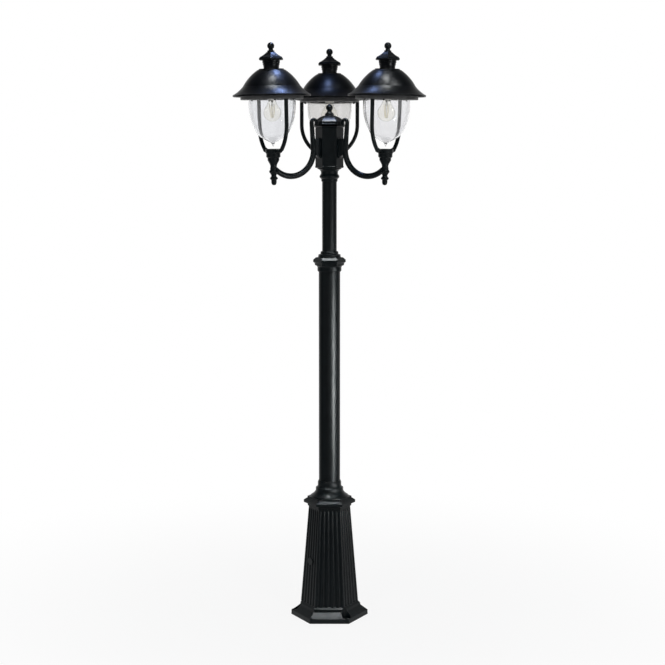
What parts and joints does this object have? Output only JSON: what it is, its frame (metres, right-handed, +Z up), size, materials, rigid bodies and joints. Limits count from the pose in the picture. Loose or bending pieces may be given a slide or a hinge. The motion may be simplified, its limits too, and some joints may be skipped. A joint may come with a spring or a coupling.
{
  "type": "garden lamp post",
  "caption": "Tall fluted-pedestal lamp post with a hub, bowed arms, and bell-hooded lanterns with acorn glasses.",
  "frame": {"origin": "pole axis at ground level, at the centre of the anchor bolt circle", "axes": "+Z up the pole, -Y towards the front with no lantern, +X to the right seen from the front"},
  "size_m": [0.7708, 0.7094, 2.3779],
  "materials": {
    "coated_casting": "satin black powder coat on castings",
    "coated_tube": "satin black powder coat on steel tube",
    "coated_hood": "satin black powder coat on spun sheet",
    "coated_fixings": "blackened steel",
    "steel_fixings": "zinc plated",
    "gasket_rubber": "matt black",
    "clear_glass": "clear blown glass",
    "bulb_glass": "clear thin glass",
    "bulb_cap_metal": "plain metal screw cap",
    "filament": "warm coated filament sticks",
    "holder_white": "glazed white",
    "terminal_plastic": "natural moulded plastic"
  },
  "bodies": {
    "post": {"base_shell": "coated_casting", "base_cap": "coated_casting", "lower_pole": "coated_tube", "pole_collar": "coated_casting", "upper_pole": "coated_tube", "hub_neck": "coated_casting", "hub_body": "coated_casting", "terminal_block": "terminal_plastic", "set_screws": "coated_fixings", "arm_bolts": "steel_fixings", "rear_arm": "coated_casting", "rear_bottom_finial": "coated_casting", "rear_yoke": "coated_casting", "rear_gallery_ring": "coated_casting", "rear_glass_gasket": "gasket_rubber", "rear_glass_bowl": "clear_glass", "rear_glass_clips": "coated_fixings", "left_arm": "coated_casting", "left_bottom_finial": "coated_casting", "left_yoke": "coated_casting", "left_gallery_ring": "coated_casting", "left_glass_gasket": "gasket_rubber", "left_glass_bowl": "clear_glass", "left_glass_clips": "coated_fixings", "right_arm": "coated_casting", "right_bottom_finial": "coated_casting", "right_yoke": "coated_casting", "right_gallery_ring": "coated_casting", "right_glass_gasket": "gasket_rubber", "right_glass_bowl": "clear_glass", "right_glass_clips": "coated_fixings"},
    "hub_lid": {"hub_cap": "coated_casting", "hub_finial": "coated_casting"},
    "rear_hood_set": {"rear_hood": "coated_hood", "rear_vent_drum": "coated_hood", "rear_cowl": "coated_hood", "rear_hood_finial": "coated_casting", "rear_centre_rod": "steel_fixings", "rear_lampholder": "holder_white"},
    "rear_bulb": {"rear_bulb_globe": "bulb_glass", "rear_bulb_cap": "bulb_cap_metal", "rear_filament": "filament"},
    "left_hood_set": {"left_hood": "coated_hood", "left_vent_drum": "coated_hood", "left_cowl": "coated_hood", "left_hood_finial": "coated_casting", "left_centre_rod": "steel_fixings", "left_lampholder": "holder_white"},
    "left_bulb": {"left_bulb_globe": "bulb_glass", "left_bulb_cap": "bulb_cap_metal", "left_filament": "filament"},
    "right_hood_set": {"right_hood": "coated_hood", "right_vent_drum": "coated_hood", "right_cowl": "coated_hood", "right_hood_finial": "coated_casting", "right_centre_rod": "steel_fixings", "right_lampholder": "holder_white"},
    "right_bulb": {"right_bulb_globe": "bulb_glass", "right_bulb_cap": "bulb_cap_metal", "right_filament": "filament"}
  },
  "joints": [
    {"name": "hub_lid_lift", "type": "slide", "parent": "post", "child": "hub_lid", "axis": [0, 0, 1], "range_m": [0, 0.06]},
    {"name": "rear_hood_lift", "type": "slide", "parent": "post", "child": "rear_hood_set", "axis": [0, 0.022, 0.9998], "range_m": [0, 0.15]},
    {"name": "rear_bulb_unscrew", "type": "slide", "parent": "rear_hood_set", "child": "rear_bulb", "axis": [0, -0.022, -0.9998], "range_m": [0, 0.027]},
    {"name": "left_hood_lift", "type": "slide", "parent": "post", "child": "left_hood_set", "axis": [-0.019, -0.011, 0.9998], "range_m": [0, 0.15]},
    {"name": "left_bulb_unscrew", "type": "slide", "parent": "left_hood_set", "child": "left_bulb", "axis": [0.019, 0.011, -0.9998], "range_m": [0, 0.027]},
    {"name": "right_hood_lift", "type": "slide", "parent": "post", "child": "right_hood_set", "axis": [0.019, -0.011, 0.9998], "range_m": [0, 0.15]},
    {"name": "right_bulb_unscrew", "type": "slide", "parent": "right_hood_set", "child": "right_bulb", "axis": [-0.019, 0.011, -0.9998], "range_m": [0, 0.027]}
  ]
}
